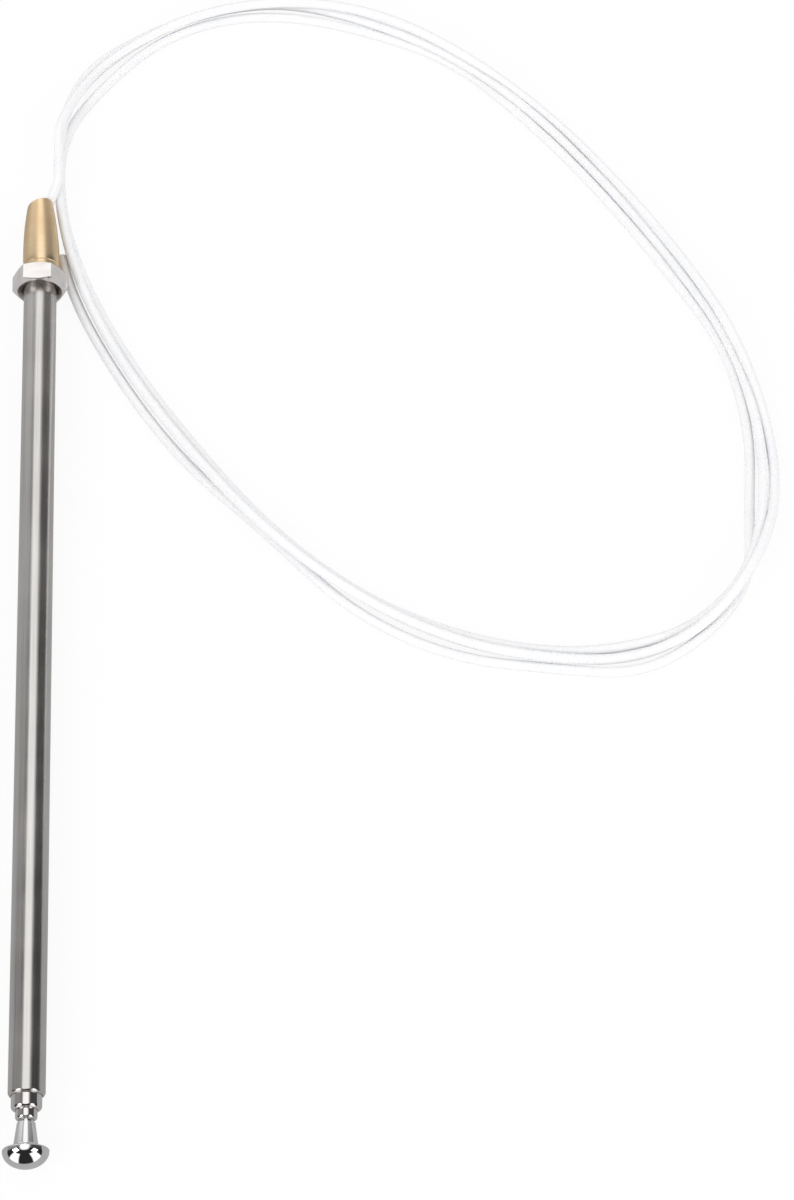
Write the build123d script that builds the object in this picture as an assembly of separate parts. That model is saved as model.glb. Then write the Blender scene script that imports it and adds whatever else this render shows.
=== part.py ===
from build123d import *
import math
import os

os.makedirs("parts", exist_ok=True)

# Collapsed telescopic mast of a power car antenna, with its nylon drive cable.
# Sizes are in millimetres. The mast lies along Y with its knob towards -Y, on the floor at z = 0.
# Places along the mast are counted from the front of the knob.

# The outer section, and from it each section inside: its wall, and the play round the next one
outer_d = 8.0
outer_wall = 0.4
second_play = 0.3
second_wall = 0.4
third_play = 0.55
third_wall = 0.35
rod_play = 0.4
rod_wall = 0.35

# How far each section stands out of the next one when the mast is collapsed
neck_gap = 0.55
third_step = 2.1
second_step = 3.1
outer_length = 217.0
base_inset = 2.5

# Tip knob and its neck
knob_d = 9.9
knob_front_depth = 3.45
knob_rim = 0.35
knob_back_depth = 0.95
neck_wall = 0.35
neck_flare = 0.65
neck_land = 0.4
neck_length = 4.6
neck_floor = 1.3

# Rolled lips at the front of the three outer sections
lip_length = 1.3
lip_slope = 0.4
lip_gap = 0.06

# Brass bushes and bowed contact springs at the inner end of the three inner sections
fit_gap = 0.02
running_gap = 0.05
bush_length = 6.0
bush_edge = 0.15
bush_to_end = 1.0
spring_length = 13.0
spring_thickness = 0.12
spring_band = 3.0
spring_crest = 2.5
spring_leaves = 4
spring_leaf_width = 1.0
spring_gap = 0.5

# Crimp ferrule and the nylon cable
ferrule_length = 7.0
ferrule_wall = 0.28
cable_d = 2.4
cable_grip = 9.0
cable_inner_end = 14.0

# Brass contact sleeve on the base end of the outer section
sleeve_seat_wall = 0.55
sleeve_wall = 0.6
sleeve_length = 20.8
sleeve_overlap = 7.9
sleeve_collar = 1.2
sleeve_groove_width = 0.8
sleeve_groove_depth = 0.22
sleeve_mouth_d = 6.5
sleeve_mouth_tilt = 12.0
sleeve_stretches = 3

# Hexagon nut, loose round the outer section
nut_play = 0.975
nut_wall = 0.9
nut_height = 5.2
nut_face_inset = 0.85
nut_chamfer_angle = 35.0
nut_countersink = 0.25
nut_to_sleeve = 0.7
nut_seat_gap = 0.05

# Loose oval coil of the cable: an ellipse on the floor, beside the mast
coil_center = (90.6, 87.4)
coil_turned = -55.0
coil_long_radius = 112.3
coil_short_radius = 68.4
coil_band = 6.9
coil_layers = 2

# The cable runs straight inside the sleeve, and then by these points to the coil
lead_straight = 8.0
lead_points = [(2.8, 131.5, 4.4), (9.6, 148.5, 2.4)]

# Bores and diameters that follow from the outer section
outer_bore = outer_d - 2 * outer_wall
second_d = outer_bore - 2 * second_play
second_bore = second_d - 2 * second_wall
third_d = second_bore - 2 * third_play
third_bore = third_d - 2 * third_wall
rod_d = third_bore - 2 * rod_play
sleeve_d = outer_d + 2 * sleeve_seat_wall
nut_bore = outer_d + 2 * nut_play
nut_across_flats = nut_bore + 2 * nut_wall

# Places along the mast that follow from the sizes above
neck_start = knob_front_depth + knob_rim + knob_back_depth
neck_end = neck_start + neck_land + neck_length
rod_front = neck_start + neck_floor
third_front = neck_end + neck_gap
second_front = third_front + third_step
outer_front = second_front + second_step
outer_back = outer_front + outer_length
second_back = outer_back - base_inset
third_back = second_back - base_inset
rod_back = third_back - base_inset
sleeve_front = outer_back - sleeve_overlap
sleeve_body_front = sleeve_front + sleeve_collar + sleeve_groove_width
mouth_center = sleeve_front + sleeve_length
mast_length = mouth_center + sleeve_mouth_d / 2 * math.sin(math.radians(sleeve_mouth_tilt))
nut_back = sleeve_front - nut_to_sleeve
nut_front = nut_back - nut_height

# The mast's axis is level: the knob lies on the floor, and so does the nut, in which the tube rests
nut_rise = nut_play - nut_seat_gap
axis_height = max(knob_d / 2, nut_across_flats / 2 - nut_rise)


def lay_down(shape):
    # From an upright mast, knob at the bottom, to a mast that lies along Y
    return Pos(0, -mast_length / 2, axis_height) * Rot(-90, 0, 0) * shape


def turned(outline):
    # A turned piece, from an outline of (radius, place along the mast)
    return revolve(Plane.XZ * outline, axis=Axis.Z)


def polygon(points):
    return make_face(Polyline(*points, close=True))


def corner_at(face, place):
    return face.vertices().sort_by_distance(place)[0]


def lipped_tube(front, back, diameter, wall, inner_d):
    # Thin drawn tube whose front edge is rolled in until the next section just slides through
    radius = diameter / 2
    lip_radius = inner_d / 2 + lip_gap
    lip_back = front + lip_length
    outline = polygon([
        (lip_radius, front), (radius, front), (radius, back),
        (radius - wall, back), (radius - wall, lip_back), (lip_radius, lip_back),
    ])
    return turned(chamfer(corner_at(outline, (radius, front)), lip_slope))


def tip_rod():
    radius = rod_d / 2
    return turned(polygon([
        (radius - rod_wall, rod_front), (radius, rod_front), (radius, rod_back), (radius - rod_wall, rod_back),
    ]))


def tip_knob():
    # Button with a spherical front and a shallow conical back, on a conical neck with a blind bore
    radius = knob_d / 2
    cap_radius = (radius ** 2 + knob_front_depth ** 2) / (2 * knob_front_depth)
    half_turn = math.asin(radius / cap_radius) / 2
    crown = (cap_radius * math.sin(half_turn), cap_radius * (1 - math.cos(half_turn)))
    neck_tip = rod_d / 2 + neck_wall
    neck_root = neck_tip + neck_flare
    bore = rod_d / 2 + fit_gap
    front = ThreePointArc((0, 0), crown, (radius, knob_front_depth))
    rest = Polyline(
        (radius, knob_front_depth), (radius, knob_front_depth + knob_rim), (neck_root, neck_start),
        (neck_root, neck_start + neck_land), (neck_tip, neck_end),
        (bore, neck_end), (bore, rod_front), (0, rod_front), (0, 0),
    )
    return turned(make_face(front + rest))


def guide_bush(section_d, bore, section_back):
    # Turned ring pressed on the inner end of a section, a running fit in the section outside it
    inner = section_d / 2 + fit_gap
    outer = bore / 2 - running_gap
    back = section_back - bush_to_end
    front = back - bush_length
    outline = polygon([(inner, front), (outer, front), (outer, back), (inner, back)])
    return turned(chamfer(corner_at(outline, (outer, front)), bush_edge))


def contact_spring(section_d, bore, section_back):
    # A band with a crown of leaves, which bow out nearly to the bore that they slide in
    inner = section_d / 2 + fit_gap
    outer = inner + spring_thickness
    half_leaf = spring_leaf_width / 2
    crest = math.sqrt((bore / 2 - running_gap) ** 2 - half_leaf ** 2) - spring_thickness
    back = section_back - bush_to_end - bush_length - spring_gap
    front = back - spring_length
    band_front = back - spring_band
    middle = (front + band_front) / 2
    spring = turned(polygon([(inner, band_front), (outer, band_front), (outer, back), (inner, back)]))
    inside = [
        (inner, back), (inner, band_front), (crest, middle + spring_crest / 2),
        (crest, middle - spring_crest / 2), (inner, front),
    ]
    outside = [(radius + spring_thickness, place) for radius, place in reversed(inside)]
    leaf = extrude(Plane.XZ * polygon(inside + outside), amount=half_leaf, both=True)
    for number in range(spring_leaves):
        spring += Rot(0, 0, number * 360 / spring_leaves) * leaf
    return spring


def cable_ferrule():
    # Crimped round the end of the tip rod, where the rod grips the cable
    inner = rod_d / 2 + fit_gap
    outer = inner + ferrule_wall
    front = rod_back - ferrule_length
    return turned(polygon([(inner, front), (outer, front), (outer, rod_back), (inner, rod_back)]))


def sleeve_body():
    # Narrows towards its mouth in steeper and steeper cones, and ends at a slant
    narrowing = (sleeve_d - sleeve_mouth_d) / 2
    length = mouth_center - sleeve_body_front
    arc_radius = (length ** 2 + narrowing ** 2) / (2 * narrowing)
    back = length + sleeve_mouth_d / 2
    edges = []
    for number in range(sleeve_stretches + 1):
        along = back * number / sleeve_stretches
        radius = sleeve_d / 2 - arc_radius + math.sqrt(arc_radius ** 2 - along ** 2)
        edges.append((radius, sleeve_body_front + along))
    body = turned(polygon(edges + [(0, sleeve_body_front + back), (0, sleeve_body_front)]))
    beyond = Box(2 * sleeve_d, 2 * sleeve_d, sleeve_d, align=(Align.CENTER, Align.CENTER, Align.MIN))
    return body - Pos(0, 0, mouth_center) * Rot(0, -sleeve_mouth_tilt, 0) * beyond


def contact_sleeve():
    # A collar and a groove at its front, a seat as deep as the tube, and a drilled body that tapers
    radius = sleeve_d / 2
    floor = radius - sleeve_groove_depth
    collar_back = sleeve_front + sleeve_collar
    collar = turned(polygon([
        (0, sleeve_front), (radius, sleeve_front), (radius, collar_back),
        (floor, collar_back), (floor, outer_back), (0, outer_back),
    ]))
    seat = Pos(0, 0, sleeve_front) * Cylinder(
        outer_d / 2 + fit_gap, sleeve_overlap, align=(Align.CENTER, Align.CENTER, Align.MIN)
    )
    passage = Pos(0, 0, sleeve_front) * Cylinder(
        sleeve_mouth_d / 2 - sleeve_wall, sleeve_length + sleeve_mouth_d,
        align=(Align.CENTER, Align.CENTER, Align.MIN),
    )
    return collar + sleeve_body() - passage - seat


def mounting_nut():
    # Hexagon with both faces chamfered, one flat down, hanging low round the tube
    corner_radius = nut_across_flats / math.sqrt(3)
    face_radius = nut_across_flats / 2 - nut_face_inset / 2
    bore_radius = nut_bore / 2
    slope = (corner_radius - face_radius) * math.tan(math.radians(nut_chamfer_angle))
    prism = extrude(RegularPolygon(nut_across_flats / 2, 6, major_radius=False), nut_height)
    barrel = turned(polygon([
        (0, 0), (face_radius, 0), (corner_radius, slope), (corner_radius, nut_height - slope),
        (face_radius, nut_height), (0, nut_height),
    ]))
    sunk = nut_countersink
    bore = turned(polygon([
        (0, 0), (bore_radius + sunk, 0), (bore_radius, sunk), (bore_radius, nut_height - sunk),
        (bore_radius + sunk, nut_height), (0, nut_height),
    ]))
    return Pos(0, -nut_rise, nut_front) * ((prism & barrel) - bore)


def cable_inner():
    # Straight stretch of the cable, from inside the tip rod to inside the sleeve
    front = rod_back - cable_grip
    length = mouth_center - cable_inner_end - front
    return Pos(0, 0, front) * Cylinder(
        cable_d / 2, length, align=(Align.CENTER, Align.CENTER, Align.MIN)
    )


def cable_coil():
    outer = Ellipse(coil_long_radius, coil_short_radius)
    inner = Ellipse(coil_long_radius - coil_band, coil_short_radius - coil_band)
    ring = extrude(outer - inner, coil_layers * cable_d)
    return Pos(*coil_center) * Rot(0, 0, coil_turned) * ring


def arc_radii(points):
    # Each arc is as large as its two straight runs allow
    radii = []
    for before, corner, after in zip(points, points[1:], points[2:]):
        arriving = Vector(*corner) - Vector(*before)
        leaving = Vector(*after) - Vector(*corner)
        half_turn = math.radians(arriving.get_angle(leaving)) / 2
        radii.append(0.45 * min(arriving.length, leaving.length) / math.tan(half_turn))
    return radii


def cable_lead(coil):
    # From the inner stretch out of the sleeve's mouth and down into the coil
    start_y = mouth_center - mast_length / 2 - cable_inner_end
    points = [(0, start_y, axis_height), (0, start_y + lead_straight, axis_height)] + lead_points
    radii = arc_radii(points)
    path = FilletPolyline(*points, radius=radii)
    section = Plane(origin=path @ 0, z_dir=path % 0) * Circle(cable_d / 2)
    tube = sweep(section, path=path)
    expected = math.pi * cable_d ** 2 / 4 * path.length
    print("cable lead radii", [round(radius, 1) for radius in radii], "mm")
    print("cable lead volume", round(tube.volume, 1), "section times length", round(expected, 1), "mm3")
    return tube - coil


coil = cable_coil()
pieces = {
    "tip_knob": lay_down(tip_knob()),
    "tip_rod": lay_down(tip_rod()),
    "third_tube": lay_down(lipped_tube(third_front, third_back, third_d, third_wall, rod_d)),
    "second_tube": lay_down(lipped_tube(second_front, second_back, second_d, second_wall, third_d)),
    "outer_tube": lay_down(lipped_tube(outer_front, outer_back, outer_d, outer_wall, second_d)),
    "second_guide_bush": lay_down(guide_bush(second_d, outer_bore, second_back)),
    "third_guide_bush": lay_down(guide_bush(third_d, second_bore, third_back)),
    "tip_guide_bush": lay_down(guide_bush(rod_d, third_bore, rod_back - ferrule_length)),
    "second_contact_spring": lay_down(contact_spring(second_d, outer_bore, second_back)),
    "third_contact_spring": lay_down(contact_spring(third_d, second_bore, third_back)),
    "tip_contact_spring": lay_down(contact_spring(rod_d, third_bore, rod_back - ferrule_length)),
    "cable_ferrule": lay_down(cable_ferrule()),
    "contact_sleeve": lay_down(contact_sleeve()),
    "mounting_nut": lay_down(mounting_nut()),
    "drive_cable_inner": lay_down(cable_inner()),
    "drive_cable_lead": cable_lead(coil),
    "drive_cable_coil": coil,
}

for name, piece in pieces.items():
    export_step(piece, f"parts/{name}.step")

print("mast length", round(mast_length, 2), "mm, axis", round(axis_height, 2), "mm above the floor")
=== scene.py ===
import math
import bpy
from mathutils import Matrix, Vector


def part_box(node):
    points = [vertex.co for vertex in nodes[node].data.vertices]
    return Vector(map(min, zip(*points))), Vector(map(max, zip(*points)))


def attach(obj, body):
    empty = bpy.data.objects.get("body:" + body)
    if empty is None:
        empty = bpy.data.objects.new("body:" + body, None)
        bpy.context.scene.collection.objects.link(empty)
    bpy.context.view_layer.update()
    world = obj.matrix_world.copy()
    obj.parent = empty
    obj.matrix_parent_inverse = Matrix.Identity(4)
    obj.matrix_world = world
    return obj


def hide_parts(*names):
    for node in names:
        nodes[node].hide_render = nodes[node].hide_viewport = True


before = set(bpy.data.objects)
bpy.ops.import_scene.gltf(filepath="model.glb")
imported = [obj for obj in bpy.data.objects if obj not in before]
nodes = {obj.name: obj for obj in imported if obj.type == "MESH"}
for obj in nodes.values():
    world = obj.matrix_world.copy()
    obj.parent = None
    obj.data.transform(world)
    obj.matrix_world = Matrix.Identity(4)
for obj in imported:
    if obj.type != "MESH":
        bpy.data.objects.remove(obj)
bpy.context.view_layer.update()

# Collapsed telescopic car antenna mast with its nylon drive cable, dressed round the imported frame.
# Sizes in the pieces' dictionaries are in millimetres, those of the camera, the floor and the lamps in
# metres, and angles in degrees. A place along the mast is measured from the front of its own piece, and
# the cable's points from the frame's origin.

mm = 0.001
edgeMiddle = 0.3         # a small round edge's middle point lies this share of its width inside the corner
outerLow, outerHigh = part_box("outer_tube")
axisX = (outerLow.x + outerHigh.x) / 2
axisZ = (outerLow.z + outerHigh.z) / 2
print("frame loaded:", len(nodes), "nodes, axis", round(axisZ / mm, 2), "mm above the floor")


def deselectAll():
    if bpy.context.object and bpy.context.object.mode != "OBJECT":
        bpy.ops.object.mode_set(mode="OBJECT")
    bpy.ops.object.select_all(action="DESELECT")


def makeActive(piece):
    deselectAll()
    piece.select_set(True)
    bpy.context.view_layer.objects.active = piece


def placeInMesh(piece):
    # a finished piece sits at the origin, with its place in its mesh
    makeActive(piece)
    bpy.ops.object.transform_apply(location=True, rotation=True, scale=True)


def smooth(piece, degrees):
    makeActive(piece)
    bpy.ops.object.shade_smooth_by_angle(angle=math.radians(degrees))


def dress(piece, material):
    piece.data.materials.clear()
    piece.data.materials.append(material)


def standIn(piece, node, body):
    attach(piece, body)
    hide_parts(node)


def turnedNode(node):
    # where a turned node's front is, in metres, and its radius and length, in millimetres
    low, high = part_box(node)
    return low.y, (high.x - low.x) / 2 / mm, (high.y - low.y) / mm


def arc(middle, radii, start, end, steps):
    # points of a round stretch as (radius, place), at angles from the outward direction
    points = []
    for step in range(steps + 1):
        angle = math.radians(start + (end - start) * step / steps)
        points.append((middle[0] + radii[0] * math.cos(angle), middle[1] + radii[1] * math.sin(angle)))
    return points


turning = {
    "sides": 96,
    "smoothAngle": 32,
    "poleRadius": 0.001,     # a point on the axis is a ring this small until its doubles are merged
}


def turnRing(degrees, middle):
    bpy.ops.transform.rotate(
        value=-math.radians(degrees), orient_axis="Z", orient_type="GLOBAL", center_override=middle,
    )


def turnPiece(name, front, outline):
    # A ring is extruded from point to point of the outline. A point is (radius, place behind the front)
    # in millimetres, and may add how far the ring lies to the right and how much it is turned.
    points = [(*point, 0, 0)[:4] for point in outline]
    deselectAll()
    radius, place, side, tilt = points[0]
    radius = max(radius, turning["poleRadius"])
    middle = (axisX + side * mm, front + place * mm, axisZ)
    bpy.ops.mesh.primitive_circle_add(
        vertices=turning["sides"], radius=radius * mm, fill_type="NOTHING",
        location=middle, rotation=(math.radians(90), 0, 0),
    )
    piece = bpy.context.object
    piece.name = name
    bpy.ops.object.mode_set(mode="EDIT")
    if tilt:
        turnRing(tilt, middle)
    for nextRadius, nextPlace, nextSide, nextTilt in points[1:]:
        nextRadius = max(nextRadius, turning["poleRadius"])
        move = ((nextSide - side) * mm, (nextPlace - place) * mm, 0)
        bpy.ops.mesh.extrude_region_move(TRANSFORM_OT_translate={"value": move})
        middle = (axisX + nextSide * mm, front + nextPlace * mm, axisZ)
        factor = nextRadius / radius
        bpy.ops.transform.resize(value=(factor, factor, factor), center_override=middle)
        if nextTilt != tilt:
            turnRing(nextTilt - tilt, middle)
        radius, place, side, tilt = nextRadius, nextPlace, nextSide, nextTilt
    bpy.ops.mesh.select_all(action="SELECT")
    bpy.ops.mesh.remove_doubles(threshold=2 * turning["poleRadius"] * mm)
    bpy.ops.mesh.normals_make_consistent(inside=False)
    bpy.ops.object.mode_set(mode="OBJECT")
    placeInMesh(piece)
    smooth(piece, turning["smoothAngle"])
    return piece


class Value:
    # one socket of a shader, so that a mask or a shade can be written as a plain sum
    def __init__(self, shader, socket):
        self.shader, self.socket = shader, socket

    def combine(self, operation, *others):
        inputs = {0: self}
        inputs.update({number + 1: other for number, other in enumerate(others)})
        return self.shader.add("ShaderNodeMath", {"operation": operation}, inputs)

    def __add__(self, other):
        return self.combine("ADD", other)

    def __mul__(self, other):
        return self.combine("MULTIPLY", other)

    def __sub__(self, other):
        return self.combine("SUBTRACT", other)

    def __truediv__(self, other):
        return self.combine("DIVIDE", other)

    __radd__ = __add__
    __rmul__ = __mul__

    def __rsub__(self, other):
        return self * -1 + other

    def magnitude(self):
        return self.combine("ABSOLUTE")

    def least(self, limit):
        return self.combine("MAXIMUM", limit)

    def most(self, limit):
        return self.combine("MINIMUM", limit)

    def mixedWith(self, other, share):
        return self * share + other * (1 - share)

    def rises(self, low, high, toLow=0.0, toHigh=1.0):
        settings = {"interpolation_type": "SMOOTHSTEP", "clamp": True}
        inputs = {0: self, 1: low, 2: high, 3: toLow, 4: toHigh}
        return self.shader.add("ShaderNodeMapRange", settings, inputs)

    def band(self, start, end):
        # 1 between the two stretches over which it rises and falls again
        return self.rises(*start) * (1 - self.rises(*end))

    def parts(self):
        node = self.shader.tree.nodes.new("ShaderNodeSeparateXYZ")
        self.shader.tree.links.new(self.socket, node.inputs[0])
        return [Value(self.shader, socket) for socket in node.outputs]


class Shader:
    # the nodes of a material or of the world
    def __init__(self, tree):
        self.tree = tree
        tree.nodes.clear()

    def add(self, kind, settings=None, inputs=None, output=0):
        node = self.tree.nodes.new(kind)
        for name, setting in (settings or {}).items():
            setattr(node, name, setting)
        for name, value in (inputs or {}).items():
            if isinstance(value, Value):
                self.tree.links.new(value.socket, node.inputs[name])
            else:
                node.inputs[name].default_value = value
        return Value(self, node.outputs[output])

    def objectPlace(self, *stretch):
        place = self.add("ShaderNodeTexCoord", None, None, "Object")
        return self.add("ShaderNodeMapping", None, {"Vector": place, "Scale": stretch}) if stretch else place

    def rays(self, kind):
        # 1 for the rays of that kind: Camera, Diffuse, Glossy or Transmission
        return self.add("ShaderNodeLightPath", None, None, "Is " + kind + " Ray")

    def noise(self, stretch=(), scale=1.0, detail=2.0, roughness=0.5):
        place = self.objectPlace(*stretch)
        inputs = {"Vector": place, "Scale": scale, "Detail": detail, "Roughness": roughness}
        return self.add("ShaderNodeTexNoise", None, inputs)

    def blendColors(self, share, first, second):
        return self.add("ShaderNodeMix", {"data_type": "RGBA"}, {0: share, 6: first, 7: second}, 2)

    def bump(self, height, strength, depth):
        inputs = {"Height": height, "Strength": strength, "Distance": depth * mm}
        return self.add("ShaderNodeBump", None, inputs)

    def finish(self, surface, kind="ShaderNodeOutputMaterial"):
        end = self.tree.nodes.new(kind)
        self.tree.links.new(surface.socket, end.inputs["Surface"])


def newMaterial(name):
    material = bpy.data.materials.new(name)
    material.use_nodes = True
    return material, Shader(material.node_tree)


# The noise of each kind of surface is given per metre, with stretches across, along and upward. A share
# is the first noise's part of a mixture, and a span is the stretch of it that is spread over the finish.
drawnPattern = {
    "fine": {"stretch": (9000, 60, 9000), "detail": 3.0, "roughness": 0.6},
    "long": {"stretch": (2600, 12, 2600)},
    "cloud": {"scale": 70.0, "detail": 3.0},
    "fineShare": 0.6,
    "lineShare": 0.7,
    "glossShare": 0.5,
    "colorSpan": (0.36, 0.64),
    "glossSpan": (0.35, 0.65),
    "depth": 0.02,
}
platedPattern = {
    "cloud": {"scale": 300.0, "detail": 3.0},
    "dots": {"scale": 2400.0},
    "glossShare": 0.6,
    "colorSpan": (0.35, 0.68),
    "glossSpan": (0.38, 0.64),
    "depth": 0.05,
}
turnedPattern = {
    "rings": {"stretch": (30, 5200, 30), "detail": 3.0, "roughness": 0.6},
    "cloud": {"scale": 170.0, "detail": 3.0},
    "colorShare": 0.6,
    "glossShare": 0.4,
    "colorSpan": (0.37, 0.63),
    "glossSpan": (0.35, 0.65),
    "depth": 0.02,
}
nylonPattern = {
    "cloud": {"scale": 80.0},
    "grain": {"scale": 1500.0},
    "glossShare": 0.5,
    "colorSpan": (0.3, 0.7),
    "glossSpan": (0.35, 0.65),
    "grainStrength": 0.06,
    "depth": 0.02,
}


def drawnMetal(name, finish):
    # Fine lines run along the mast, with a few longer ones and a faint cloudiness
    material, shader = newMaterial(name)
    pattern = drawnPattern
    fine = shader.noise(**pattern["fine"])
    long = shader.noise(**pattern["long"])
    cloud = shader.noise(**pattern["cloud"])
    lines = fine.mixedWith(long, pattern["fineShare"])
    shade = lines.mixedWith(cloud, pattern["lineShare"]).rises(*pattern["colorSpan"])
    gloss = fine.mixedWith(cloud, pattern["glossShare"]).rises(*pattern["glossSpan"], *finish["roughness"])
    shader.finish(shader.add("ShaderNodeBsdfPrincipled", None, {
        "Metallic": 1.0, "Roughness": gloss,
        "Base Color": shader.blendColors(shade, finish["dark"], finish["light"]),
        "Normal": shader.bump(lines, finish["lineStrength"], pattern["depth"]),
    }))
    return material


def platedMetal(name, finish):
    # Bright plating that clouds a little, over a surface that isn't quite even
    material, shader = newMaterial(name)
    pattern = platedPattern
    cloud = shader.noise(**pattern["cloud"])
    dots = shader.noise(**pattern["dots"])
    shade = cloud.rises(*pattern["colorSpan"])
    gloss = cloud.mixedWith(dots, pattern["glossShare"]).rises(*pattern["glossSpan"], *finish["roughness"])
    shader.finish(shader.add("ShaderNodeBsdfPrincipled", None, {
        "Metallic": finish["metallic"], "Roughness": gloss,
        "Base Color": shader.blendColors(shade, finish["light"], finish["dark"]),
        "Normal": shader.bump(cloud, finish["waviness"], pattern["depth"]),
    }))
    return material


def turnedMetal(name, finish):
    # Satin metal with fine turning rings across the mast and faint blotches
    material, shader = newMaterial(name)
    pattern = turnedPattern
    rings = shader.noise(**pattern["rings"])
    cloud = shader.noise(**pattern["cloud"])
    shade = cloud.mixedWith(rings, pattern["colorShare"]).rises(*pattern["colorSpan"])
    gloss = cloud.mixedWith(rings, pattern["glossShare"]).rises(*pattern["glossSpan"], *finish["roughness"])
    shader.finish(shader.add("ShaderNodeBsdfPrincipled", None, {
        "Metallic": 1.0, "Roughness": gloss,
        "Base Color": shader.blendColors(shade, finish["light"], finish["dark"]),
        "Normal": shader.bump(rings, finish["ringStrength"], pattern["depth"]),
    }))
    return material


def milkyNylon(name, finish):
    # Smooth, slightly cloudy nylon, which light enters
    material, shader = newMaterial(name)
    pattern = nylonPattern
    cloud = shader.noise(**pattern["cloud"])
    grain = shader.noise(**pattern["grain"])
    shade = cloud.rises(*pattern["colorSpan"])
    gloss = cloud.mixedWith(grain, pattern["glossShare"]).rises(*pattern["glossSpan"], *finish["roughness"])
    shader.finish(shader.add("ShaderNodeBsdfPrincipled", None, {
        "IOR": finish["ior"], "Roughness": gloss,
        "Base Color": shader.blendColors(shade, finish["dark"], finish["light"]),
        "Subsurface Weight": finish["scatter"], "Subsurface Radius": finish["scatterDepth"],
        "Subsurface Scale": mm, "Normal": shader.bump(grain, pattern["grainStrength"], pattern["depth"]),
    }))
    return material


finishes = {
    "brushed": {
        "light": (0.72, 0.70, 0.68, 1), "dark": (0.58, 0.56, 0.54, 1), "roughness": (0.17, 0.27),
        "lineStrength": 0.22,
    },
    "drawn": {
        "light": (0.80, 0.78, 0.77, 1), "dark": (0.69, 0.67, 0.66, 1), "roughness": (0.08, 0.14),
        "lineStrength": 0.08,
    },
    "chrome": {
        "light": (0.86, 0.85, 0.85, 1), "dark": (0.79, 0.78, 0.78, 1), "roughness": (0.035, 0.08),
        "waviness": 0.03, "metallic": 1.0,
    },
    "nickel": {
        "light": (0.90, 0.87, 0.85, 1), "dark": (0.82, 0.78, 0.76, 1), "roughness": (0.12, 0.24),
        "waviness": 0.08, "metallic": 0.8,
    },
    "sleeve": {
        "light": (0.98, 0.76, 0.49, 1), "dark": (0.92, 0.68, 0.41, 1), "roughness": (0.30, 0.42),
        "ringStrength": 0.16,
    },
    "bush": {
        "light": (0.84, 0.66, 0.36, 1), "dark": (0.72, 0.53, 0.27, 1), "roughness": (0.17, 0.28),
        "ringStrength": 0.3,
    },
    "bronze": {
        "light": (0.78, 0.54, 0.31, 1), "dark": (0.62, 0.40, 0.22, 1), "roughness": (0.14, 0.26),
        "ringStrength": 0.1,
    },
    "nylon": {
        "light": (0.965, 0.965, 0.975, 1), "dark": (0.93, 0.935, 0.96, 1), "roughness": (0.24, 0.36),
        "ior": 1.53, "scatter": 0.6, "scatterDepth": (1.0, 1.0, 1.1),
    },
}
brushedSteel = drawnMetal("brushed_stainless", finishes["brushed"])
drawnSteel = drawnMetal("stainless_tube", finishes["drawn"])
chrome = platedMetal("polished_chrome", finishes["chrome"])
nickel = platedMetal("nut_nickel", finishes["nickel"])
sleeveBrass = turnedMetal("sleeve_brass", finishes["sleeve"])
bushBrass = turnedMetal("bush_brass", finishes["bush"])
springBronze = turnedMetal("spring_bronze", finishes["bronze"])
nylon = milkyNylon("cable_nylon", finishes["nylon"])
print("materials made")


# Where the photo was taken from
camera = {
    "place": (0.0700, -0.2789, 0.55175),
    "upFromFloor": 27.606,   # degrees from looking straight down
    "turn": -2.738,          # degrees about Z
    "lens": 80.0,            # millimetres, as is the sensor
    "sensor": 36.0,
    "nearest": 0.01,
}


def addCamera():
    deselectAll()
    rotation = (math.radians(camera["upFromFloor"]), 0, math.radians(camera["turn"]))
    bpy.ops.object.camera_add(location=camera["place"], rotation=rotation)
    photoCamera = bpy.context.object
    photoCamera.name = "photo_camera"
    photoCamera.data.sensor_width = camera["sensor"]
    photoCamera.data.lens = camera["lens"]
    photoCamera.data.clip_start = camera["nearest"]
    bpy.context.scene.camera = photoCamera


addCamera()
print("camera placed")


# Drive cable: out of the sleeve's mouth and round three loose turns to its bare end
cable = {
    "diameter": 2.4,
    "realLength": 1.69,      # metres
    "start": [(0, 108.36, 4.95), (-0.6, 114.2, 4.95), (0.4, 119.8, 4.95),
              (2.8, 124.8, 5.3), (4.5, 130.0, 6.1), (4.2, 138.5, 6.2)],
    "inSleeve": 14.0,        # from the first point to the sleeve's mouth
    "end": [(4.9, 109.2, 1.2)],
    # the middle ellipse, which the turns swing about, and where each turn starts on it
    "middle": (90.15, 87.38),
    "longRadius": 110.2,
    "shortRadius": 65.9,
    "turned": -54.8,
    "firstAngle": 210,
    "angleStep": 15,
    # how far outside the middle ellipse the cable lies, step by step as it runs
    "firstTurn": [3.4, 2.2, -1.5, -2.1, 1.1, 2.8, 1.2, 2.6, 0.4, -0.3, 0.5, 2.0,
                  1.8, 0.0, -0.4, -0.8, -1.0, -0.2, 0.6, 0.9, -0.6, 0.2, 2.0, 2.7],
    "secondTurn": [3.5, 4.7, 0.3, -0.6, 2.8, 1.0, 0.8, -0.2, -2.1, -2.3, -0.5, -0.6,
                   -1.0, -0.5, -2.4, -4.1, -3.5, -2.3, -0.9, -0.6, -2.9, -1.8, 0.4, 2.6],
    "lastTurn": [3.1, -2.7, -3.6, -2.8, -1.6, -1.2, 0.8, -2.7, -4.7, -4.8, -1.6, -2.9,
                 -4.5, 0.5, 1.2, 3.2, 0.4, 3.4, 3.6, -0.4, 1.8, 2.7, 4.5],
    "spareHeight": 1.08,     # diameters from the middle of a turn to that of one it crosses
    "lineSteps": 12,
    "roundSteps": 6,
}


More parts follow.
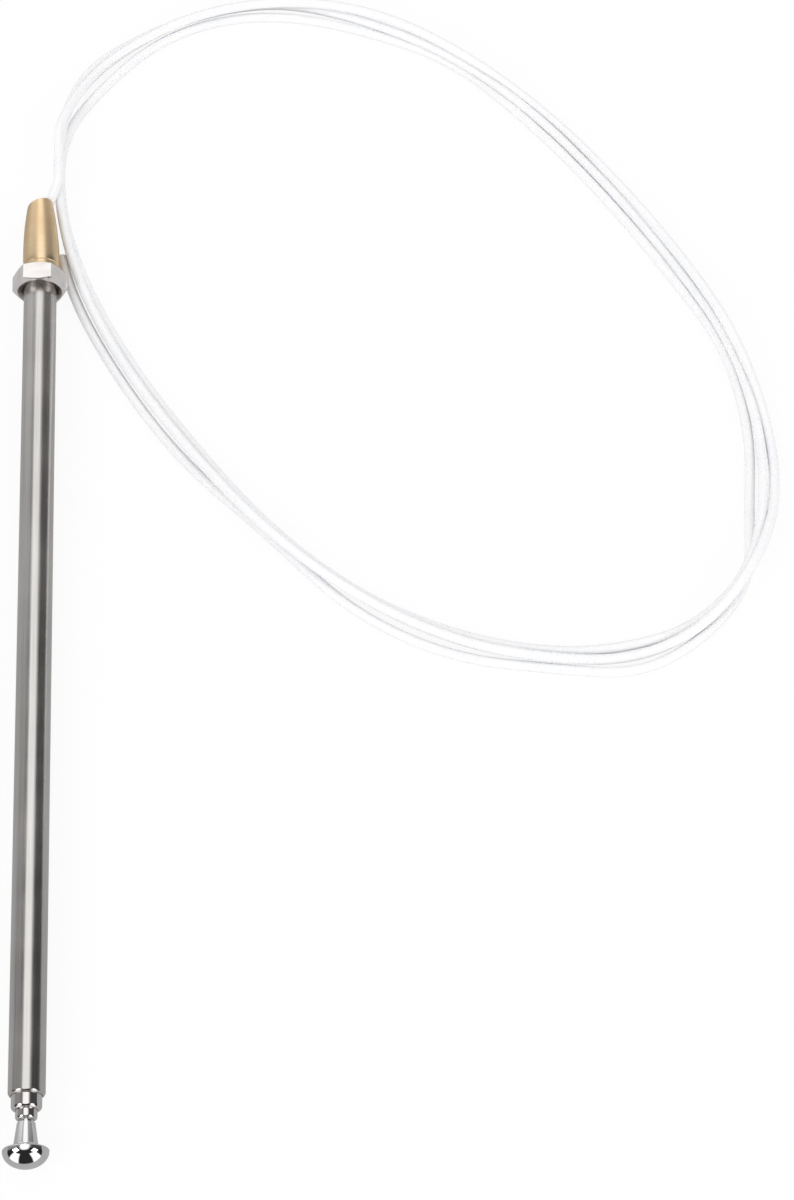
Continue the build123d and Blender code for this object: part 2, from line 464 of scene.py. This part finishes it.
def ringPoint(degrees, outward):
    # the spline cuts inside its points, so they lie on an ellipse that is that much larger
    spread = 1 / math.cos(math.radians(cable["angleStep"] / 2))
    angle, turned = math.radians(degrees), math.radians(cable["turned"])
    longRadius, shortRadius = cable["longRadius"] * spread, cable["shortRadius"] * spread
    away = Vector((shortRadius * math.cos(angle), longRadius * math.sin(angle))).normalized() * outward
    x = longRadius * math.cos(angle) + away.x
    y = shortRadius * math.sin(angle) + away.y
    return (
        cable["middle"][0] + x * math.cos(turned) - y * math.sin(turned),
        cable["middle"][1] + x * math.sin(turned) + y * math.cos(turned),
    )


def turnHeights(turns):
    # the last turn lies on the floor, and an earlier one rises over those after it where they cross
    reach = cable["diameter"] * cable["spareHeight"]
    heights = [[cable["diameter"] / 2] * len(turn) for turn in turns]
    for upper in reversed(range(len(turns) - 1)):
        for lower in range(upper + 1, len(turns)):
            gaps = [above - below for above, below in zip(turns[upper], turns[lower])]
            for step, gap in enumerate(gaps):
                nextTo = gaps[max(step - 1, 0):step + 2]
                crosses = min(nextTo) < 0 < max(nextTo)
                gap = 0 if crosses else abs(gap)
                if gap < reach:
                    needed = heights[lower][step] + math.sqrt(reach ** 2 - gap ** 2)
                    heights[upper][step] = max(heights[upper][step], needed)
    return heights


def cablePoints():
    turns = [cable["firstTurn"], cable["secondTurn"], cable["lastTurn"]]
    points = list(cable["start"])
    for turn, heights in zip(turns, turnHeights(turns)):
        for step, (outward, height) in enumerate(zip(turn, heights)):
            degrees = cable["firstAngle"] - step * cable["angleStep"]
            points.append((*ringPoint(degrees, outward), height))
    return points + cable["end"]


def addCable():
    points = cablePoints()
    line = bpy.data.curves.new("drive_cable", "CURVE")
    line.dimensions = "3D"
    spline = line.splines.new("NURBS")
    spline.points.add(len(points) - 1)
    for point, (x, y, z) in zip(spline.points, points):
        point.co = (x * mm, y * mm, z * mm, 1)
    spline.order_u = 3
    spline.use_endpoint_u = True
    spline.resolution_u = cable["lineSteps"]
    line.bevel_depth = cable["diameter"] / 2 * mm
    line.bevel_resolution = cable["roundSteps"]
    line.use_fill_caps = True
    line.materials.append(nylon)
    piece = bpy.data.objects.new("drive_cable", line)
    bpy.context.scene.collection.objects.link(piece)
    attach(piece, "mast_base")
    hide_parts("drive_cable_lead", "drive_cable_coil")


addCable()
print("drive cable laid")


# Tip knob: a dome with a rounded rim and a shallow back, on a neck that flares at its root. The round
# stretches of rim and flare are given across and along.
knob = {
    "domeDepth": 3.65,
    "domeSteps": 20,
    "rim": (0.5, 0.45),
    "rimAngles": (12, 68),
    "backDepth": 0.95,
    "neckRoot": 2.6,
    "flare": (0.45, 0.54),
    "flareAngles": (265, 190),
    "roundSteps": 5,
    "neckTip": 1.95,
    "neckTipEdge": 0.1,
    "edgeLead": (0.02, 0.05),  # how far outside and before the edge the neck's last long point lies
    "bore": 1.62,
    "boreFloor": 6.05,
}


def addKnob():
    front, radius, length = turnedNode("tip_knob")
    depth, edge = knob["domeDepth"], knob["neckTipEdge"]
    dome = arc((0, depth), (radius, depth), -90, 0, knob["domeSteps"])
    rim = arc((radius - knob["rim"][0], depth), knob["rim"], *knob["rimAngles"], knob["roundSteps"])
    flareMiddle = (knob["neckRoot"] + knob["flare"][0], depth + knob["backDepth"] + knob["flare"][1])
    flare = arc(flareMiddle, knob["flare"], *knob["flareAngles"], knob["roundSteps"])
    outside, before = knob["edgeLead"]
    neck = [
        (knob["neckTip"] + outside, length - edge - before), (knob["neckTip"], length - edge),
        (knob["neckTip"] - edge * edgeMiddle, length - edge * edgeMiddle), (knob["neckTip"] - edge, length),
        (knob["bore"], length), (knob["bore"], knob["boreFloor"]), (0, knob["boreFloor"]),
    ]
    piece = turnPiece("knob", front, dome + rim + flare + neck)
    dress(piece, chrome)
    standIn(piece, "tip_knob", "tip_section")


# Telescopic sections: thin tubes, whose front edge is rolled in on the next section. The roll is given
# across and along.
sections = {
    "outer_tube": {
        "name": "outer_section", "body": "mast_base", "slot": "brushed_stainless", "material": brushedSteel,
        "wall": 0.4, "inside": "second_tube", "roll": (0.55, 0.85),
    },
    "second_tube": {
        "name": "second_section", "body": "second_section", "slot": "stainless_tube", "material": drawnSteel,
        "wall": 0.4, "inside": "third_tube", "roll": (0.7, 0.9),
    },
    "third_tube": {
        "name": "third_section", "body": "third_section", "slot": "stainless_tube", "material": drawnSteel,
        "wall": 0.35, "inside": "tip_rod", "roll": (0.6, 0.75),
    },
}
rolledLip = {
    "gap": 0.06,             # between the lip and the section inside it
    "length": 1.3,
    "cut": 0.12,             # the lip's cut front, and the small step to the roll
    "step": 0.03,
    "rollSteps": 9,
    "shoulder": 1.0,         # plain tube behind the roll, which keeps its shading off the long wall
    "innerSlope": 0.2,
    "backEdge": 0.06,
}


def addSection(node, section):
    front, radius, length = turnedNode(node)
    insideRadius = turnedNode(section["inside"])[1]
    lip = insideRadius + rolledLip["gap"]
    inner = radius - section["wall"]
    across, along = section["roll"]
    lipBack, backEdge = rolledLip["length"], rolledLip["backEdge"]
    lipFront = [(lip, rolledLip["cut"])]
    step = [(lip + rolledLip["step"], rolledLip["step"])]
    roll = arc((radius - across, along), (across, along), -90, 0, rolledLip["rollSteps"])
    tube = [
        (radius, along + rolledLip["shoulder"]), (radius, length - backEdge), (radius - backEdge, length),
        (inner, length), (inner, lipBack + rolledLip["innerSlope"]), (lip, lipBack),
    ]
    piece = turnPiece(section["name"], front, lipFront + step + roll + tube + lipFront)
    dress(piece, section["material"])
    standIn(piece, node, section["body"])


# Brass contact sleeve: a collar, a groove, and a body that tapers and leans to a slanted, hollow mouth
sleeve = {
    "length": 20.8,
    "collar": 1.2,
    "collarEdge": 0.12,
    "grooveWidth": 0.8,
    "grooveDepth": 0.22,
    "grooveRound": 0.12,
    "grooveSlope": 0.04,
    "bodyRings": 24,
    "baseSide": 0.25,        # how far the body lies to the right at its base
    "lean": 0.4,             # and to the left at its mouth
    "mouthTilt": 17.0,
    "mouthRadius": 3.25,
    "mouthWall": 0.6,
    "mouthEdge": 0.12,
    "seatDepth": 7.9,
    "seatRadius": 4.02,
    "boreEdge": 0.1,
}


def addSleeve():
    low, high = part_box("contact_sleeve")
    size = sleeve
    radius = (high.z - low.z) / 2 / mm   # its height, because the lean adds to its width
    bodyStart = size["collar"] + size["grooveWidth"]
    bodyLength = size["length"] - bodyStart
    narrowing = radius - size["mouthRadius"]
    floor = radius - size["grooveDepth"]
    edge, rounding, slope = size["collarEdge"], size["grooveRound"], size["grooveSlope"]

    def bodyRing(share):
        # share runs from 0 at the groove to 1 at the mouth
        return (
            radius - narrowing * share ** 2, bodyStart + bodyLength * share,
            size["baseSide"] * (1 - share) - size["lean"] * share, size["mouthTilt"] * share ** 2,
        )

    collar = [
        (radius - edge, 0), (radius - edge * edgeMiddle, edge * edgeMiddle), (radius, edge),
        (radius, size["collar"] - edge), (radius - edge, size["collar"]),
    ]
    groove = [
        (floor + rounding, size["collar"] + slope), (floor, size["collar"] + slope + rounding),
        (floor, bodyStart - rounding - slope), (floor + rounding, bodyStart - slope),
        (radius - edge, bodyStart),
    ]
    front = [(size["seatRadius"], 0)] + [(*point, size["baseSide"]) for point in collar + groove]
    body = [bodyRing(ring / size["bodyRings"]) for ring in range(1, size["bodyRings"])]
    mouthRadius, mouthPlace, side, tilt = bodyRing(1)
    mouthEdge, bore = size["mouthEdge"], size["mouthRadius"] - size["mouthWall"]
    mouth = [
        (mouthRadius, mouthPlace - mouthEdge, side, tilt), (mouthRadius - mouthEdge, mouthPlace, side, tilt),
        (bore + mouthEdge, mouthPlace, side, tilt), (bore, mouthPlace - mouthEdge, side, tilt),
    ]
    passage = [(bore, size["seatDepth"] + size["boreEdge"]), (bore, size["seatDepth"])]
    seat = [(size["seatRadius"], size["seatDepth"]), (size["seatRadius"], 0)]
    piece = turnPiece("brass_sleeve", low.y, front + body + mouth + passage + seat)
    dress(piece, sleeveBrass)
    standIn(piece, "contact_sleeve", "mast_base")


# Mounting nut: a hexagon with chamfered faces and a fine thread in its bore
nut = {
    "faceInset": 0.85,
    "chamferAngle": 24.0,
    "edge": 0.12,
    "edgeAngle": 28,         # edges sharper than this are rounded
    "smoothAngle": 30,
    "wall": 0.9,
    "threadPitch": 0.75,
    "threadDepth": 0.24,
    "threadCrest": 0.06,     # half of the flat between two grooves
    "countersink": 0.45,
    "lathePast": 0.4,        # share of the height by which the barrel's cones pass its faces
    "latheClear": 0.01,      # the barrel is this much wider than the corners
    "drillPast": 1,
}


def nutBarrel(front, height, faceRadius, cornerRadius):
    # a barrel with a cone at each end, which cuts the corners of the hexagon back
    slope = (cornerRadius - faceRadius) * math.tan(math.radians(nut["chamferAngle"]))
    past, wide = nut["lathePast"] * height, cornerRadius + nut["latheClear"]
    return turnPiece("nut_barrel", front, [
        (0, -past), (faceRadius - past, -past), (faceRadius, 0), (wide, slope),
        (wide, height - slope), (faceRadius, height), (faceRadius - past, height + past),
        (0, height + past),
    ])


def nutDrill(front, height, bore):
    # a drill with the thread's grooves, which end at the countersinks
    pitch, crest = nut["threadPitch"], nut["threadCrest"]
    turns = int((height - 2 * nut["countersink"]) / pitch)
    start = (height - turns * pitch) / 2
    thread = []
    for turn in range(turns):
        place = start + turn * pitch
        thread += [
            (bore, place + crest), (bore + nut["threadDepth"], place + pitch / 2),
            (bore, place + pitch - crest),
        ]
    past, wide = nut["drillPast"], bore + nut["countersink"]
    head = [(0, -past), (wide, -past), (wide, 0)]
    tail = [(wide, height), (wide, height + past), (0, height + past)]
    return turnPiece("nut_drill", front, head + thread + tail)


def cutNut(piece, tool, operation, raised):
    tool.location.z = raised
    placeInMesh(tool)
    makeActive(piece)
    cut = piece.modifiers.new(operation.lower(), "BOOLEAN")
    cut.operation = operation
    cut.solver = "EXACT"
    cut.object = tool
    bpy.ops.object.modifier_apply(modifier=cut.name)
    bpy.data.objects.remove(tool)


def roundNut(piece):
    makeActive(piece)
    rounding = piece.modifiers.new("soft_edges", "BEVEL")
    rounding.width = nut["edge"] * mm
    rounding.segments = 1
    rounding.limit_method = "ANGLE"
    rounding.angle_limit = math.radians(nut["edgeAngle"])
    bpy.ops.object.modifier_apply(modifier=rounding.name)


def addNut():
    low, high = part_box("mounting_nut")
    acrossFlats = (high.z - low.z) / mm
    height = (high.y - low.y) / mm
    centerZ = (low.z + high.z) / 2
    cornerRadius = acrossFlats / math.sqrt(3)
    faceRadius = acrossFlats / 2 - nut["faceInset"] / 2
    bore = acrossFlats / 2 - nut["wall"]

    deselectAll()
    bpy.ops.mesh.primitive_cylinder_add(
        vertices=6, radius=cornerRadius * mm, depth=height * mm,
        location=(axisX, (low.y + high.y) / 2, centerZ), rotation=(math.radians(90), math.radians(30), 0),
    )
    piece = bpy.context.object
    piece.name = "hexagon_nut"
    placeInMesh(piece)

    # the nut's middle lies above the mast's axis, about which its tools are turned, and its outside is
    # rounded before the bore is cut, so that no rounding crosses the thread
    raised = centerZ - axisZ
    cutNut(piece, nutBarrel(low.y, height, faceRadius, cornerRadius), "INTERSECT", raised)
    roundNut(piece)
    cutNut(piece, nutDrill(low.y, height, bore), "DIFFERENCE", raised)
    smooth(piece, nut["smoothAngle"])
    dress(piece, nickel)
    standIn(piece, "mounting_nut", "nut")


addKnob()
print("knob turned")
for node, section in sections.items():
    addSection(node, section)
print("sections drawn")
addSleeve()
print("sleeve turned")
addNut()
print("nut cut")

# The pieces inside the mast keep the frame's shapes
inside = {
    "tip_rod": drawnSteel, "cable_ferrule": drawnSteel, "drive_cable_inner": nylon,
    "second_guide_bush": bushBrass, "third_guide_bush": bushBrass, "tip_guide_bush": bushBrass,
    "second_contact_spring": springBronze, "third_contact_spring": springBronze,
    "tip_contact_spring": springBronze,
}
for node, material in inside.items():
    dress(nodes[node], material)
print("inner pieces dressed")


# Studio: a white floor that keeps the object's shadow, and the soft room that the metal reflects. The
# room has a light strip overhead that reaches down behind the mast's far end, and a soft box to each
# side of a dark front. The pairs named Start, End, Top and Fade say where a change starts and ends.
studio = {
    "floorSize": 6.0,
    "floorColor": (0.98, 0.98, 0.98, 1),
    "floorWhite": 0.9,       # how much of the floor's white is its own
    "floorReflected": 0.47,
    "paintedBoxesAhead": (12, 16),  # mm in front of the knob's rim, from where the floor glows with the soft boxes as a painted reflection
    "tent": 0.84,            # light on matte surfaces
    # brightness from high overhead to low behind the mast's far end, and how far along it changes
    "wall": (0.30, 0.96),
    "wallFade": (0.3, 0.85),
    "strip": (0.96, 0.32),   # what the overhead light strip adds to the wall
    "stripFade": (0.3, 0.7),
    "darkSide": (0.07, 0.44),  # to the right of the strip
    "darkFade": (0.42, 0.8),
    # edges from left to right, as how far across for each unit up
    "grayStart": (-0.95, -0.7),
    "grayEnd": (-0.5, -0.35),
    "gray": 0.35,            # how much of the wall's light this stretch left of the strip loses
    "stripStart": (-0.5, -0.25),
    "stripEnd": (0.3, 0.6),
    "darkStart": (0.45, 0.8),
    # the front, with edges of the soft boxes as how far across for each unit ahead
    "front": 0.025,
    "softBox": 1.3,
    "boxStart": (0.36, 0.48),
    "boxEnd": (1.3, 1.6),
    "boxTop": (0.44, 0.54),
    "frontStart": (0.0, 0.12),  # how far ahead the front takes over from the rest of the room
    "frontTop": (0.85, 0.95),
    "horizon": (0.03, 0.05),  # least up and least ahead that a direction is divided by
}


def softBoxes(sideways):
    return sideways.band(studio["boxStart"], studio["boxEnd"]) * studio["softBox"]


def addFloor():
    deselectAll()
    bpy.ops.mesh.primitive_plane_add(size=studio["floorSize"], location=(0, 0, 0))
    floor = bpy.context.object
    floor.name = "studio_floor"
    material, shader = newMaterial("studio_floor")
    seen = shader.rays("Camera") + shader.rays("Transmission")
    reflected = shader.rays("Glossy")
    share = seen.most(1.0) * studio["floorWhite"] + reflected
    matte = shader.add("ShaderNodeBsdfDiffuse", None, {"Color": studio["floorColor"]})
    # painted reflection: for glossy rays the floor glows with the room's soft boxes and a painted dark
    # between them, low in front of the knob, so the polished knob sees them there too
    floorX, floorY = shader.objectPlace().parts()[:2]
    knobFront = turnedNode("tip_knob")[0]
    ahead = knobFront + knob["domeDepth"] * mm - floorY
    near, far = studio["paintedBoxesAhead"]
    dark = ahead.rises(near * mm, far * mm)
    boxes = softBoxes(floorX.magnitude() / ahead.least(mm))
    # the floor's painted glow in reflections: painted soft boxes and painted dark ahead of the knob, plain
    # floor elsewhere
    paintedReflection = dark * (boxes + studio["front"] - studio["floorReflected"]) + studio["floorReflected"]
    strength = reflected * (paintedReflection - 1) + 1
    glow = shader.add("ShaderNodeEmission", None, {"Strength": strength})
    shader.finish(shader.add("ShaderNodeMixShader", None, {0: share.most(1.0), 1: matte, 2: glow}))
    dress(floor, material)


def addRoom():
    room = bpy.data.worlds.new("studio_room")
    room.use_nodes = True
    bpy.context.scene.world = room
    shader = Shader(room.node_tree)
    across, along, upward = shader.add("ShaderNodeTexCoord", None, None, "Generated").parts()
    leastUp, leastAhead = studio["horizon"]
    # overhead and behind, the light changes from left to right
    slant = across / upward.least(leastUp)
    strip = slant.band(studio["stripStart"], studio["stripEnd"])
    gray = slant.band(studio["grayStart"], studio["grayEnd"])
    dark = slant.rises(*studio["darkStart"])
    wall = along.rises(*studio["wallFade"], *studio["wall"])
    behind = wall * (1 - gray * studio["gray"]) + strip * along.rises(*studio["stripFade"], *studio["strip"])
    behind = behind * (1 - dark) + dark * along.rises(*studio["darkFade"], *studio["darkSide"])
    # in front, it is dark in the middle with a soft box to each side
    ahead = along * -1
    boxes = softBoxes(across.magnitude() / ahead.least(leastAhead))
    front = boxes * (1 - upward.rises(*studio["boxTop"])) + studio["front"]
    inFront = ahead.rises(*studio["frontStart"]) * (1 - upward.rises(*studio["frontTop"]))
    reflected = behind * (1 - inFront) + front * inFront
    seen, matte = shader.rays("Camera"), shader.rays("Diffuse")
    strength = seen + (1 - seen) * (matte * studio["tent"] + (1 - matte) * reflected)
    light = shader.add("ShaderNodeBackground", None, {"Color": (1, 1, 1, 1), "Strength": strength})
    shader.finish(light, "ShaderNodeOutputWorld")


lamps = {
    "left_softbox": {"place": (-1.0, -0.6, 1.0), "size": 0.7, "power": 4.5},
    "right_softbox": {"place": (1.1, -0.7, 0.8), "size": 0.7, "power": 3.0},
}
lampAim = (0.05, 0.0, 0.0)


def addLamp(name, lamp):
    deselectAll()
    bpy.ops.object.light_add(type="AREA", location=lamp["place"])
    light = bpy.context.object
    light.name = name
    light.data.size = lamp["size"]
    light.data.energy = lamp["power"]
    direction = Vector(lampAim) - Vector(lamp["place"])
    light.rotation_euler = direction.to_track_quat("-Z", "Y").to_euler()


addFloor()
addRoom()
for name, lamp in lamps.items():
    addLamp(name, lamp)
bpy.context.scene.view_settings.view_transform = "Standard"
print("studio lit")
